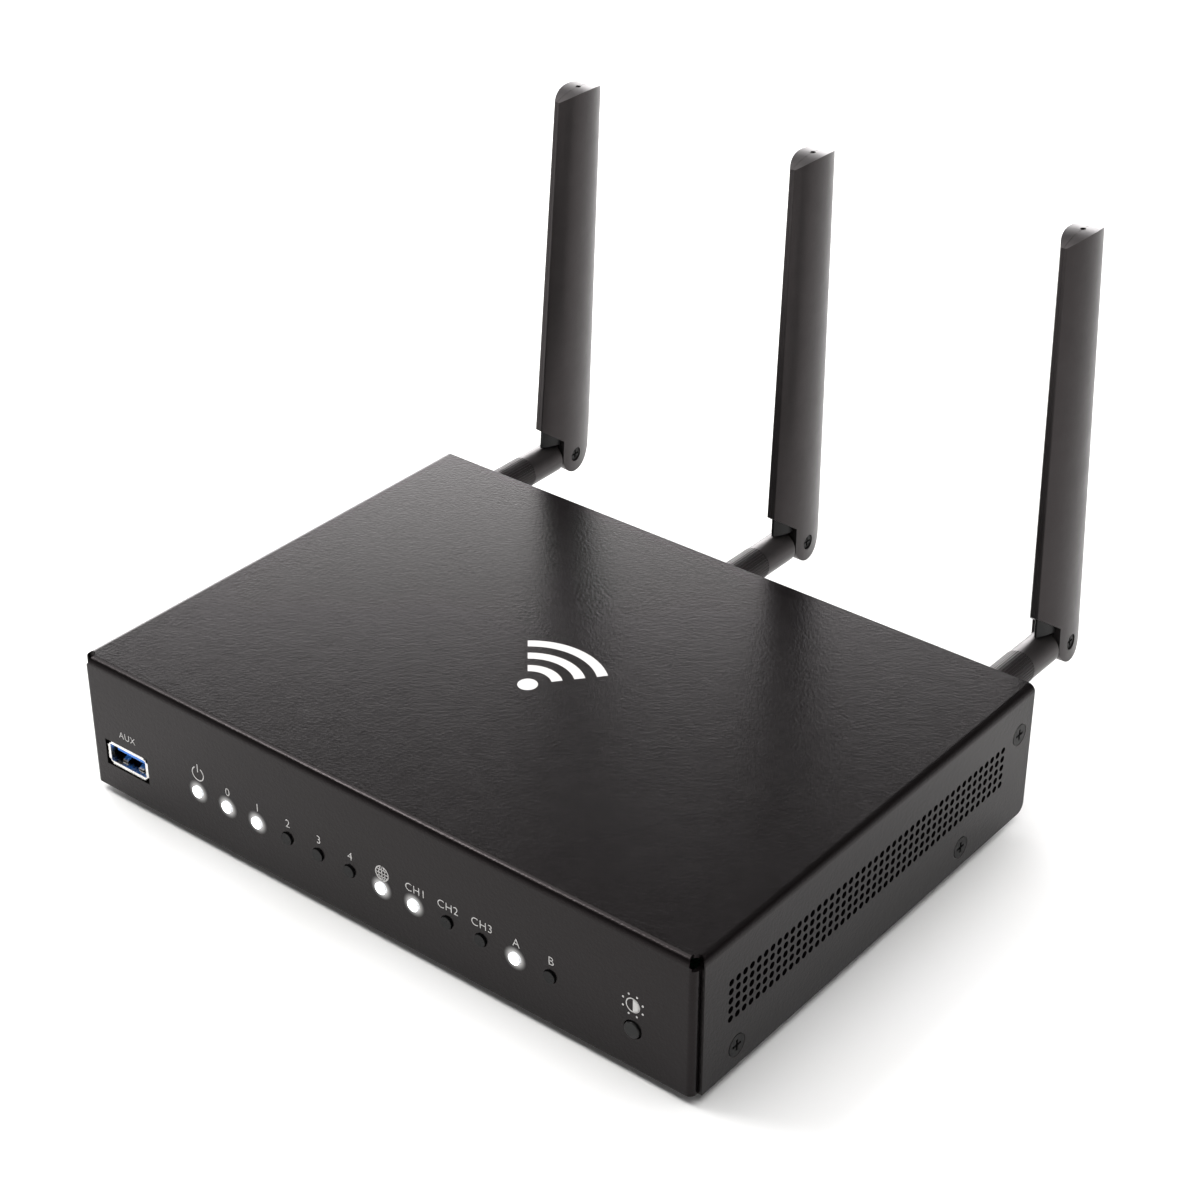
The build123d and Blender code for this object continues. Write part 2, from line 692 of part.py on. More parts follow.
for index, (jack_x, end_x) in enumerate(zip(ANTENNA_XS, LEAD_ENDS), start=1):
    points = (
        (jack_x, TAIL_Y, AXIS_Z),
        (jack_x, TAIL_Y - 12, AXIS_Z),
        (end_x, LEAD_END_Y + 16, AXIS_Z - 3),
        (end_x, LEAD_END_Y, AXIS_Z - 4),
        (end_x, LEAD_END_Y, LEAD_END_Z),
    )
    with BuildPart() as pigtail:
        with BuildLine() as route:
            FilletPolyline(*points, radius=5.0)
        with BuildSketch(Plane(origin=points[0], z_dir=(0, -1, 0))):
            Circle(LEAD_R)
        sweep(path=route.line)
    save(pigtail.part, f"pigtail_{index}")


# ---------------------------------------------------------------- antennas
# Each antenna is built upright with its hinge pivot at the origin: blade along +Z, barrel
# along -Y from the pivot, thickness along X. It is then set on its jack, rolled by its own
# rest angle about the barrel.
FOOT_HALF_WIDTH = 11.15
HINGE_BLOCK_TOP = 20.0
RADIATOR_LENGTH = 74.0
TIP_HALF_WIDTH = 8.7
FOOT_HALF_THICK = 4.6
TIP_HALF_THICK = 3.6
FOOT_EDGE_HALF = 1.1
TIP_EDGE_HALF = 0.75
SHELL_WALL = 1.3
SEAM_GAP = 0.04
SLOT_HALF = 1.9
TONGUE_HALF = 1.7
EAR_TOP = 4.7
SLANT_LOW = 6.2
SLANT_HIGH = 12.6
SHOULDER = EAR_R + 0.3
BLADE_LOW = -EAR_R - 1
NUT_NEAR = RING_BEHIND - PIVOT_BEHIND - 0.15
NUT_FAR = NUT_NEAR - 13.6


def blade_section(height, inset=0.0):
    """Half width, half thickness and edge thickness of the blade's lens at this height."""
    share = (height - BLADE_LOW) / (BLADE_LENGTH - BLADE_LOW)
    half_width = FOOT_HALF_WIDTH + (TIP_HALF_WIDTH - FOOT_HALF_WIDTH) * share - inset
    half_thick = FOOT_HALF_THICK + (TIP_HALF_THICK - FOOT_HALF_THICK) * share - inset
    half_edge = FOOT_EDGE_HALF + (TIP_EDGE_HALF - FOOT_EDGE_HALF) * share
    return half_width, half_thick, max(half_edge - 0.6 * inset, 0.3)


def half_lens(height, sign, inset=0.0, from_x=0.0):
    """Sketch of one side of the lens section, drawn at this height."""
    half_width, half_thick, edge = blade_section(height, inset)
    low, high = BLADE_OFFSET - half_width, BLADE_OFFSET + half_width
    with BuildSketch(Plane.XY.offset(height)) as section:
        with BuildLine():
            Polyline(
                (sign * edge, low),
                (sign * from_x, low),
                (sign * from_x, high),
                (sign * edge, high),
            )
            ThreePointArc((sign * edge, high), (sign * half_thick, BLADE_OFFSET), (sign * edge, low))
        make_face()
        if inset == 0:
            soft = section.vertices().filter_by(lambda v: abs(abs(v.X) - edge) < 0.01)
            fillet(soft, 0.45)
    return section.sketch


def side_prism(half_thick):
    """Blade seen from the side: arched tip, rounded ear at the pivot, slanted foot."""
    top = BLADE_LENGTH - BLADE_ARCH
    wide = FOOT_HALF_WIDTH + 3
    arch_half = TIP_HALF_WIDTH + 0.2
    front_tip = (BLADE_OFFSET - arch_half, top)
    rear_tip = (BLADE_OFFSET + arch_half, top)
    ear_diagonal = EAR_R * cos(radians(45))
    with BuildPart() as prism:
        with BuildSketch(Plane.YZ.offset(-half_thick)):
            with BuildLine():
                ThreePointArc(front_tip, (BLADE_OFFSET, BLADE_LENGTH), rear_tip)
                Polyline(rear_tip, (wide, top), (wide, 4.0), (BLADE_REAR_REACH, 4.0))
                ThreePointArc((BLADE_REAR_REACH, 4.0), (6.4, -3.0), (0, -EAR_R))
                ThreePointArc((0, -EAR_R), (-ear_diagonal, -ear_diagonal), (-EAR_R, 0))
                Polyline((-EAR_R, 0), (-EAR_R, SLANT_LOW), (-wide, SLANT_HIGH), (-wide, top), front_tip)
            make_face()
        extrude(amount=2 * half_thick)
    return prism.part


def blade_shell(sign):
    """Right (+1) or left (-1) half shell of the blade, hollow, with its hinge ear."""
    with BuildPart() as shell:
        loft(
            sections=[
                half_lens(BLADE_LOW, sign, from_x=SEAM_GAP),
                half_lens(BLADE_LENGTH, sign, from_x=SEAM_GAP),
            ]
        )
        hollow_top = BLADE_LENGTH - BLADE_ARCH - 2.0
        loft(
            sections=[
                half_lens(EAR_TOP, sign, inset=SHELL_WALL, from_x=0.0),
                half_lens(hollow_top, sign, inset=SHELL_WALL, from_x=0.0),
            ],
            mode=Mode.SUBTRACT,
        )
        # slot for the barrel's tongue
        with BuildSketch(Plane.XY.offset(EAR_TOP)):
            Rectangle(2 * SLOT_HALF, 4 * FOOT_HALF_WIDTH)
        extrude(amount=BLADE_LOW - EAR_TOP, mode=Mode.SUBTRACT)
        add(side_prism(8), mode=Mode.INTERSECT)
        # hinge screw hole; the right ear also takes the screw's head
        with BuildSketch(Plane.YZ):
            Circle(1.3)
        extrude(amount=sign * 6, mode=Mode.SUBTRACT)
        if sign > 0:
            with BuildSketch(Plane.YZ.offset(3.1)):
                Circle(2.1)
            extrude(amount=3, mode=Mode.SUBTRACT)
        # small round hole where the seam crosses the tip
        with BuildSketch(Plane.XY.offset(BLADE_LENGTH)):
            with Locations((0, BLADE_OFFSET)):
                Circle(0.7)
        extrude(amount=-1.6, mode=Mode.SUBTRACT)
    return shell.part


with BuildPart() as hinge_block:
    # fills the foot of the blade between the two shells, and shows below their slanted edge
    for sign in (-1, 1):
        loft(
            sections=[
                half_lens(EAR_TOP + 0.2, sign, inset=SHELL_WALL + 0.15),
                half_lens(HINGE_BLOCK_TOP, sign, inset=SHELL_WALL + 0.15),
            ]
        )

with BuildPart() as radiator:
    with BuildSketch(Plane.XY.offset(HINGE_BLOCK_TOP)):
        with Locations((0, BLADE_OFFSET)):
            Rectangle(0.8, 10)
    extrude(amount=RADIATOR_LENGTH)

with BuildPart() as hinge_screw:
    with BuildSketch(Plane.YZ.offset(-4.0)):
        Circle(1.25)
    extrude(amount=7.3)
    with BuildSketch(Plane.YZ.offset(3.15)):
        Circle(2.0)
    extrude(amount=0.9)
    fillet(hinge_screw.edges().group_by(Axis.X)[-1], 0.3)
    with BuildSketch(Plane.YZ.offset(4.05)):
        Rectangle(0.55, 2.6)
        Rectangle(2.6, 0.55)
    extrude(amount=-0.5, mode=Mode.SUBTRACT)

with BuildPart() as barrel:
    with BuildSketch(front_view(-SHOULDER)):
        Circle(BARREL_R)
    extrude(amount=PIVOT_BEHIND - RING_BEHIND - SHOULDER)
    chamfer(barrel.edges().group_by(Axis.Y)[-1], 0.5)
    # tongue with its pivot eye
    with BuildSketch(Plane.YZ):
        Circle(4.2)
        with Locations((-SHOULDER / 2 - 0.5, 0)):
            Rectangle(SHOULDER + 1, 7.6)
        Circle(1.3, mode=Mode.SUBTRACT)
    extrude(amount=TONGUE_HALF, both=True)
    # stem inside the coupling nut, its collar, and the nose that enters the jack
    with BuildSketch(front_view(RING_BEHIND - PIVOT_BEHIND)):
        Circle(2.5)
    extrude(amount=7.4)
    with BuildSketch(front_view(NUT_NEAR - 4.2)):
        Circle(3.05)
    extrude(amount=1.4)
    with BuildSketch(front_view(RING_BEHIND - PIVOT_BEHIND - 7.4)):
        Circle(2.2)
        Circle(0.7, mode=Mode.SUBTRACT)
    extrude(amount=3.6)

KNURL_COUNT = 40
with BuildPart() as coupling_nut:
    with BuildSketch(front_view(NUT_NEAR)):
        Circle(BARREL_R - 0.12)
        with PolarLocations(BARREL_R - 0.12, KNURL_COUNT):
            Rectangle(0.42, 0.36)
    extrude(amount=NUT_NEAR - NUT_FAR)
    # plain neck at the case end
    with BuildSketch(front_view(NUT_FAR + 1.2)):
        Circle(BARREL_R + 1)
        Circle(BARREL_R - 0.35, mode=Mode.SUBTRACT)
    extrude(amount=2, mode=Mode.SUBTRACT)
    with BuildSketch(front_view(NUT_NEAR)):
        Circle(2.6)
    extrude(amount=4, mode=Mode.SUBTRACT)
    with BuildSketch(front_view(NUT_NEAR - 3.2)):
        Circle(JACK_THREAD_R + 0.08)
    extrude(amount=12, mode=Mode.SUBTRACT)

ANTENNA_PIECES = {
    "coupling_nut": coupling_nut.part,
    "barrel": barrel.part,
    "right_shell": blade_shell(1),
    "left_shell": blade_shell(-1),
    "hinge_block": hinge_block.part,
    "hinge_screw": hinge_screw.part,
    "radiator": radiator.part,
}
for number, (x, roll) in enumerate(zip(ANTENNA_XS, BLADE_ROLL_DEG), start=1):
    seat = Pos(x, PIVOT_Y, AXIS_Z) * Rot(0, roll, 0)
    for piece_name, piece in ANTENNA_PIECES.items():
        save(seat * piece, f"antenna_{number}_{piece_name}")
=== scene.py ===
"""Looks, light and camera for the desktop wifi node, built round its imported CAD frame. Metres."""

import json
from math import cos, pi, radians, sin

import bmesh
import bpy
from mathutils import Matrix, Vector


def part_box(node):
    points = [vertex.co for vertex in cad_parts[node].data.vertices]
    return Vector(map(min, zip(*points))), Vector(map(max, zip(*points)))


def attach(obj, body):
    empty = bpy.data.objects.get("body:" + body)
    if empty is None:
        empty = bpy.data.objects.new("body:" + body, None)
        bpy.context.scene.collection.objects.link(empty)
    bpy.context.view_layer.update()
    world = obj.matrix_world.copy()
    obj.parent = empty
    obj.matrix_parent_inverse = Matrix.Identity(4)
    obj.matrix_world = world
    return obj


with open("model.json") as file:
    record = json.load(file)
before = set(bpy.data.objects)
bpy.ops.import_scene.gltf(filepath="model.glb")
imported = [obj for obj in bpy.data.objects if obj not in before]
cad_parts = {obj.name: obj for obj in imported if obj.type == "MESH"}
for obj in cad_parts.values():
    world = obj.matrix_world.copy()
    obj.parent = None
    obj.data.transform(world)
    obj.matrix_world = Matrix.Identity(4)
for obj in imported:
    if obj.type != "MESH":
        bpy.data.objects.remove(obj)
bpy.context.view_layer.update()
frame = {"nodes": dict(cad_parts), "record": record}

scene = bpy.context.scene
MM = 0.001
PIPE_R = 1.6 * MM
PIPE_PROUD = 0.5 * MM
EVEN = (1, 1, 1)
BRUSHED = (1, 12, 1)
WARM = (1.0, 0.88, 0.89, 1.0)

# ---------------------------------------------------------------- places read from the frame
cover_low, cover_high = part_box("top_cover")
FACE_Y = cover_low.y
ROOF_Z = cover_high.z
BASE_Z = cover_low.z
CASE_MID = (cover_low + cover_high) / 2


def mid(node):
    """Centre of a CAD node's box."""
    low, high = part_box(node)
    return (low + high) / 2


def islands(node):
    """Boxes (low, high) of the separate solids of a CAD node, from left to right."""
    bm = bmesh.new()
    bm.from_mesh(frame["nodes"][node].data)
    bmesh.ops.remove_doubles(bm, verts=bm.verts, dist=1e-6)
    left = set(bm.verts)
    boxes = []
    while left:
        front = [left.pop()]
        found = list(front)
        while front:
            vert = front.pop()
            for edge in vert.link_edges:
                other = edge.other_vert(vert)
                if other in left:
                    left.remove(other)
                    front.append(other)
                    found.append(other)
        low = Vector(min(v.co[i] for v in found) for i in range(3))
        high = Vector(max(v.co[i] for v in found) for i in range(3))
        boxes.append((low, high))
    bm.free()
    return sorted(boxes, key=lambda box: box[0].x)


# ---------------------------------------------------------------- shader helpers
def make(tree, kind, inputs=None, **settings):
    """New node with its settings, and its inputs linked or set."""
    node = tree.nodes.new(kind)
    for key, value in settings.items():
        setattr(node, key, value)
    for key, value in (inputs or {}).items():
        socket = node.inputs[key]
        if isinstance(value, bpy.types.NodeSocket):
            tree.links.new(value, socket)
        else:
            socket.default_value = value
    return node


def noise(tree, where, size, detail=2.0, stretch=EVEN):
    """Noise whose features are about this size, in metres, and longer along stretch."""
    scaled = make(
        tree,
        "ShaderNodeMapping",
        {"Vector": where, "Scale": [1 / (size * s) for s in stretch]},
    )
    field = make(
        tree,
        "ShaderNodeTexNoise",
        {"Vector": scaled.outputs[0], "Scale": 1.0, "Detail": detail, "Roughness": 0.55},
    )
    return field.outputs["Fac"]


def calc(tree, operation, *values):
    """Result of one sum on one or two numbers."""
    return make(tree, "ShaderNodeMath", dict(enumerate(values)), operation=operation).outputs[0]


def between(tree, amount, low, high, start=0.3, end=0.7):
    """Number that goes from low to high as amount goes from start to end."""
    ramp = make(
        tree,
        "ShaderNodeMapRange",
        {"Value": amount, "From Min": start, "From Max": end, "To Min": low, "To Max": high},
    )
    return ramp.outputs[0]


def blend_colour(tree, amount, one, two):
    """Colour that goes from one to two."""
    mix = make(tree, "ShaderNodeMix", {"Factor": amount}, data_type="RGBA")
    for socket, value in ((mix.inputs[6], one), (mix.inputs[7], two)):
        if isinstance(value, bpy.types.NodeSocket):
            tree.links.new(value, socket)
        else:
            socket.default_value = (*value, 1.0)
    return mix.outputs[2]


def bumped(tree, layers, where):
    """Normal with one bump per layer of (feature size, height, stretch), in metres."""
    normal = None
    for size, height, stretch in layers:
        inputs = {
            "Height": noise(tree, where, size, 2.0, stretch),
            "Strength": 1.0,
            "Distance": height,
        }
        if normal is not None:
            inputs["Normal"] = normal
        normal = make(tree, "ShaderNodeBump", inputs).outputs[0]
    return normal


def surface(name, tones, tone_size, rough, rough_size, bumps, **sockets):
    """Material whose colour and roughness drift over the surface, over fine bumps."""
    material = bpy.data.materials.new(name)
    material.use_nodes = True
    tree = material.node_tree
    shader = tree.nodes["Principled BSDF"]
    where = make(tree, "ShaderNodeTexCoord").outputs["Object"]
    tone = between(tree, noise(tree, where, tone_size, 4.0), 0.0, 1.0)
    sheen = between(tree, noise(tree, where, rough_size, 3.0), *rough)
    tree.links.new(blend_colour(tree, tone, *tones), shader.inputs["Base Color"])
    tree.links.new(sheen, shader.inputs["Roughness"])
    if bumps:
        tree.links.new(bumped(tree, bumps, where), shader.inputs["Normal"])
    for key, value in sockets.items():
        shader.inputs[key.replace("_", " ")].default_value = value
    return material


# ---------------------------------------------------------------- materials
# Reach, fade and strength of the painted glow on the case paint round each lit pipe.
HALO_REACH = 2.1 * PIPE_R
HALO_FADE = 1.8
HALO_STRENGTH = 0.6
PIPE_GLOW = 5.0


def pipe_faces():
    """Centres of the lit pipes' ends, in the plane of the front panel."""
    return [
        Vector(((low.x + high.x) / 2, FACE_Y, high.z - PIPE_R))
        for low, high in islands("light_pipes_lit")
    ]


def nearest_gap(tree, where, points):
    """Distance to the nearest of these points."""
    nearest = None
    for point in points:
        gap = make(tree, "ShaderNodeVectorMath", {0: where, 1: point}, operation="DISTANCE")
        gap = gap.outputs["Value"]
        if nearest is not None:
            gap = calc(tree, "MINIMUM", nearest, gap)
        nearest = gap
    return nearest


def powder_coat():
    """Black powder coat: fine orange peel over steel, with a painted glow round each lit pipe."""
    material = surface(
        "powder_coat",
        ((0.0024, 0.0018, 0.0019), (0.0030, 0.0024, 0.0025)),
        9 * MM,
        (0.23, 0.25),
        5 * MM,
        [(0.75 * MM, 0.040 * MM, EVEN), (0.4 * MM, 0.014 * MM, EVEN)],
        IOR=1.27,
        Specular_Tint=WARM,
    )
    tree = material.node_tree
    shader = tree.nodes["Principled BSDF"]
    where = make(tree, "ShaderNodeTexCoord").outputs["Object"]
    # Painted glow: the paint itself emits, brightest next to each lit pipe's end and fading
    # outwards, in place of light cast by the pipes.
    nearest = nearest_gap(tree, where, pipe_faces())
    painted_glow = between(tree, nearest, 1.0, 0.0, PIPE_R, HALO_REACH)
    painted_glow = calc(tree, "POWER", painted_glow, HALO_FADE)
    painted_glow = calc(tree, "MULTIPLY", painted_glow, HALO_STRENGTH)
    tree.links.new(painted_glow, shader.inputs["Emission Strength"])
    shader.inputs["Emission Color"].default_value = (1.0, 0.99, 0.97, 1.0)
    return material


def shell_plate_with_painted_shade():
    """Nickel plate that is bright at the mouth of a socket and dull and dark inside, the dark being
    painted shade.
    """
    material = surface(
        "shell_plate_with_painted_shade",
        ((0.6, 0.59, 0.57), (0.78, 0.77, 0.75)),
        2 * MM,
        (0.2, 0.34),
        1 * MM,
        [(0.25 * MM, 0.002 * MM, EVEN)],
        Metallic=1.0,
    )
    tree = material.node_tree
    shader = tree.nodes["Principled BSDF"]
    where = make(tree, "ShaderNodeTexCoord").outputs["Object"]
    along = make(tree, "ShaderNodeSeparateXYZ", {"Vector": where}).outputs["Y"]
    reach = calc(tree, "ABSOLUTE", calc(tree, "SUBTRACT", along, CASE_MID.y))
    mouth = (cover_high.y - cover_low.y) / 2
    # Painted shade: past the socket's mouth the plate's colour is blended to near black, as the
    # inside lies in shade.
    painted_shade_mask = between(tree, reach, 0.03, 1.0, mouth - 2.4 * MM, mouth - 1.0 * MM)
    old = shader.inputs["Base Color"].links[0].from_socket
    mixed = blend_colour(tree, painted_shade_mask, (0.012, 0.012, 0.014), old)
    tree.links.new(mixed, shader.inputs["Base Color"])
    return material


def board_mask():
    """Green solder mask with darker strips where the copper tracks run underneath."""
    material = surface(
        "solder_mask",
        ((0.008, 0.07, 0.03), (0.012, 0.11, 0.045)),
        6 * MM,
        (0.22, 0.34),
        3 * MM,
        [(0.8 * MM, 0.004 * MM, EVEN)],
    )
    tree = material.node_tree
    shader = tree.nodes["Principled BSDF"]
    where = make(tree, "ShaderNodeTexCoord").outputs["Object"]
    scaled = make(tree, "ShaderNodeMapping", {"Vector": where, "Scale": (160, 160, 160)})
    tracks = make(
        tree,
        "ShaderNodeTexBrick",
        {"Vector": scaled.outputs[0], "Scale": 1.0, "Mortar Size": 0.03, "Brick Width": 1.7},
    )
    old = shader.inputs["Base Color"].links[0].from_socket
    mixed = blend_colour(tree, tracks.outputs["Fac"], old, (0.02, 0.17, 0.075))
    tree.links.new(mixed, shader.inputs["Base Color"])
    return material


def glowing(name, strength):
    """Milky light pipe, lit from inside, patchy and dimmer beyond the rim of its face."""
    material = surface(
        name,
        ((0.9, 0.93, 1.0), (0.98, 0.99, 1.0)),
        1.5 * MM,
        (0.2, 0.35),
        1 * MM,
        [(0.4 * MM, 0.002 * MM, EVEN)],
    )
    tree = material.node_tree
    shader = tree.nodes["Principled BSDF"]
    where = make(tree, "ShaderNodeTexCoord").outputs["Object"]
    power = between(tree, noise(tree, where, 1.2 * MM), 0.85 * strength, strength)
    proud = [point - Vector((0, PIPE_PROUD, 0)) for point in pipe_faces()]
    rim = nearest_gap(tree, where, proud)
    rim = between(tree, rim, 1.0, 0.06, 1.3 * MM, PIPE_R)
    power = calc(tree, "MULTIPLY", power, rim)
    tree.links.new(power, shader.inputs["Emission Strength"])
    shader.inputs["Emission Color"].default_value = (0.95, 0.98, 1.0, 1.0)
    return material


def build_materials():
    """One finished material for every material slot of the record."""
    return {
        "case_paint": powder_coat(),
        "black_screw": surface(
            "black_oxide",
            ((0.003, 0.003, 0.003), (0.006, 0.0055, 0.0055)),
            1.5 * MM,
            (0.36, 0.5),
            0.8 * MM,
            [(0.5 * MM, 0.006 * MM, EVEN)],
            IOR=1.24,
        ),
        "rubber": surface(
            "black_rubber",
            ((0.012, 0.012, 0.012), (0.022, 0.022, 0.022)),
            3 * MM,
            (0.65, 0.85),
            2 * MM,
            [(0.4 * MM, 0.012 * MM, EVEN)],
        ),
        "board_green": board_mask(),
        "steel": surface(
            "bright_steel",
            ((0.5, 0.5, 0.48), (0.66, 0.66, 0.64)),
            5 * MM,
            (0.25, 0.42),
            2 * MM,
            [(0.3 * MM, 0.003 * MM, BRUSHED)],
            Metallic=1.0,
        ),
        "nickel": surface(
            "nickel_plate",
            ((0.6, 0.59, 0.57), (0.78, 0.77, 0.75)),
            2 * MM,
            (0.14, 0.28),
            1 * MM,
            [(0.25 * MM, 0.002 * MM, EVEN)],
            Metallic=1.0,
        ),
        "shell": shell_plate_with_painted_shade(),
        "brass": surface(
            "gold_flash",
            ((0.62, 0.42, 0.14), (0.82, 0.6, 0.27)),
            2 * MM,
            (0.2, 0.36),
            1 * MM,
            [(0.25 * MM, 0.002 * MM, EVEN)],
            Metallic=1.0,
        ),
        "pipe_lit": glowing("light_pipe_on", PIPE_GLOW),
        "pipe_dark": surface(
            "light_pipe_off",
            ((0.0015, 0.0015, 0.0016), (0.003, 0.003, 0.0032)),
            1 * MM,
            (0.26, 0.34),
            0.7 * MM,
            [(0.3 * MM, 0.004 * MM, EVEN)],
            IOR=1.25,
        ),
        "black_plastic": surface(
            "satin_black_plastic",
            ((0.003, 0.003, 0.003), (0.006, 0.0058, 0.006)),
            2.5 * MM,
            (0.3, 0.42),
            1.5 * MM,
            [(0.35 * MM, 0.006 * MM, EVEN)],
            IOR=1.32,
        ),
        "socket_blue": surface(
            "socket_blue",
            ((0.02, 0.2, 0.8), (0.03, 0.26, 0.9)),
            2 * MM,
            (0.28, 0.4),
            1 * MM,
            [(0.3 * MM, 0.003 * MM, EVEN)],
        ),
        "antenna_plastic": surface(
            "antenna_plastic",
            ((0.012, 0.011, 0.011), (0.018, 0.0165, 0.0165)),
            8 * MM,
            (0.33, 0.38),
            5 * MM,
            [(0.45 * MM, 0.008 * MM, EVEN), (0.2 * MM, 0.003 * MM, EVEN)],
            IOR=1.4,
            Specular_Tint=WARM,
        ),
        "chip": surface(
            "moulded_chip",
            ((0.012, 0.012, 0.013), (0.024, 0.024, 0.025)),
            2 * MM,
            (0.5, 0.7),
            1 * MM,
            [(0.2 * MM, 0.006 * MM, EVEN)],
        ),
        "led_package": surface(
            "led_package",
            ((0.75, 0.74, 0.68), (0.88, 0.87, 0.8)),
            1 * MM,
            (0.4, 0.55),
            1 * MM,
            [(0.2 * MM, 0.003 * MM, EVEN)],
        ),
        "aluminium": surface(
            "plain_aluminium",
            ((0.6, 0.6, 0.61), (0.76, 0.76, 0.77)),
            4 * MM,
            (0.3, 0.45),
            2 * MM,
            [(0.3 * MM, 0.004 * MM, BRUSHED)],
            Metallic=1.0,
        ),
        "pad_grey": surface(
            "thermal_pad",
            ((0.3, 0.32, 0.35), (0.42, 0.44, 0.47)),
            2 * MM,
            (0.7, 0.85),
            2 * MM,
            [(0.5 * MM, 0.01 * MM, EVEN)],
        ),
        "copper": surface(
            "bare_copper",
            ((0.6, 0.28, 0.16), (0.78, 0.42, 0.26)),
            3 * MM,
            (0.28, 0.45),
            2 * MM,
            [(0.3 * MM, 0.003 * MM, BRUSHED)],
            Metallic=1.0,
        ),
    }


materials = build_materials()
for part in frame["record"]["subparts"]:
    mesh = frame["nodes"][part["node"]].data
    mesh.materials.clear()
    mesh.materials.append(materials[part["material_slot"]])

# The USB shells get the nickel plate with painted shade inside the socket.
for node in ("front_usb_shell", "rear_usb_shell"):
    frame["nodes"][node].data.materials[0] = materials["shell"]

INK = surface(
    "white_print",
    ((0.5, 0.49, 0.48), (0.62, 0.61, 0.6)),
    0.8 * MM,
    (0.4, 0.6),
    0.6 * MM,
    [(0.2 * MM, 0.002 * MM, EVEN)],
)


# ---------------------------------------------------------------- printed marks
class Print:
    """Flat ink shapes gathered on one plane, then raised by the ink's thickness."""

    def __init__(self, origin, right, up):
        self.origin = Vector(origin)
        self.right = Vector(right)
        self.up = Vector(up)
        self.out = self.right.cross(self.up)
        self.bm = bmesh.new()

    def place(self, point):
        """World point of (u, v) in millimetres, just off the surface."""
        u, v = point
        return self.origin + self.right * (u * MM) + self.up * (v * MM) + self.out * (0.01 * MM)

    def shape(self, outline):
        """Filled outline, counter-clockwise."""
        self.bm.faces.new([self.bm.verts.new(self.place(point)) for point in outline])

    def strip(self, inner, outer):
        """Band between two rows of points."""
        low = [self.bm.verts.new(self.place(point)) for point in inner]
        high = [self.bm.verts.new(self.place(point)) for point in outer]
        for i in range(len(low) - 1):
            self.bm.faces.new((low[i], high[i], high[i + 1], low[i + 1]))

    def arc(self, centre, radii, width, start=0.0, end=360.0, count=48):
        """Line of this width along an ellipse, angles in degrees."""
        steps = [radians(start + (end - start) * i / count) for i in range(count + 1)]
        rows = []
        for side in (-width / 2, width / 2):
            across, up = radii[0] + side, radii[1] + side
            rows.append([(centre[0] + across * cos(t), centre[1] + up * sin(t)) for t in steps])
        self.strip(*rows)

    def line(self, one, two, width):
        """Straight line of this width."""
        start, end = Vector(one), Vector(two)
        side = (end - start).normalized().orthogonal() * (width / 2)
        self.shape([start + side, start - side, end - side, end + side][::-1])

    def disc(self, centre, radius, start=0.0, end=360.0, count=24):
        """Filled circle, or the part of one between two angles."""
        steps = [radians(start + (end - start) * i / count) for i in range(count + 1)]
        if end - start == 360.0:
            steps.pop()
        self.shape([(centre[0] + radius * cos(t), centre[1] + radius * sin(t)) for t in steps])

    def letters(self, words, centre, height):
        """A word in the plain built-in font, thinned, centred on a point."""
        curve = bpy.data.curves.new("letters", "FONT")
        curve.body = words
        curve.offset = -0.012
        curve.space_character = 1.08
        holder = bpy.data.objects.new("letters", curve)
        scene.collection.objects.link(holder)
        bpy.context.view_layer.update()
        graph = bpy.context.evaluated_depsgraph_get()
        mesh = bpy.data.meshes.new_from_object(holder.evaluated_get(graph))
        bpy.data.objects.remove(holder)
        bpy.data.curves.remove(curve)
        xs = [v.co.x for v in mesh.vertices]
        ys = [v.co.y for v in mesh.vertices]
        size = height / (max(ys) - min(ys))
        middle = ((max(xs) + min(xs)) / 2, (max(ys) + min(ys)) / 2)
        made = []
        for vert in mesh.vertices:
            u = centre[0] + (vert.co.x - middle[0]) * size
            v = centre[1] + (vert.co.y - middle[1]) * size
            made.append(self.bm.verts.new(self.place((u, v))))
        for polygon in mesh.polygons:
            self.bm.faces.new([made[i] for i in polygon.vertices])
        bpy.data.meshes.remove(mesh)

    def finish(self, name, body, thick=0.03):
        """One closed mesh of all the shapes, riding on a body."""
        bmesh.ops.recalc_face_normals(self.bm, faces=self.bm.faces)
        for face in self.bm.faces:
            if face.normal.dot(self.out) < 0:
                face.normal_flip()
        flat = list(self.bm.faces)
        raised = bmesh.ops.extrude_face_region(self.bm, geom=flat, use_keep_orig=True)
        moved = [item for item in raised["geom"] if isinstance(item, bmesh.types.BMVert)]
        bmesh.ops.translate(self.bm, verts=moved, vec=self.out * (thick * MM))
        bmesh.ops.recalc_face_normals(self.bm, faces=self.bm.faces)
        mesh = bpy.data.meshes.new(name)
        self.bm.to_mesh(mesh)
        self.bm.free()
        piece = bpy.data.objects.new(name, mesh)
        scene.collection.objects.link(piece)
        mesh.materials.append(INK)
        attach(piece, body)


LINE = 0.26
LETTER = 2.15
LABEL_SHIFT = 0.4
DIGIT_RISE = 4.5
LABEL_RISE = {"power": 5.4, "globe": 4.3}
SOCKET_LABEL = (0.9, 7.3)
SOCKET_LETTER = 0.85 * LETTER
BUTTON_ICON_RISE = 6.7
THIN_LINE = LINE * 0.8
MARK_FOOT = (-0.5, -9.0)
MARK_DOT_R = 2.5
MARK_ARCS = (7.2, 12.8, 18.4)
MARK_WIDTH = 2.7


def power_icon(ink, centre):
    """Broken ring with a bar through its gap."""
    ink.arc(centre, (1.9, 1.9), LINE, 120, 420)
    ink.line((centre[0], centre[1] + 0.5), (centre[0], centre[1] + 2.8), LINE)


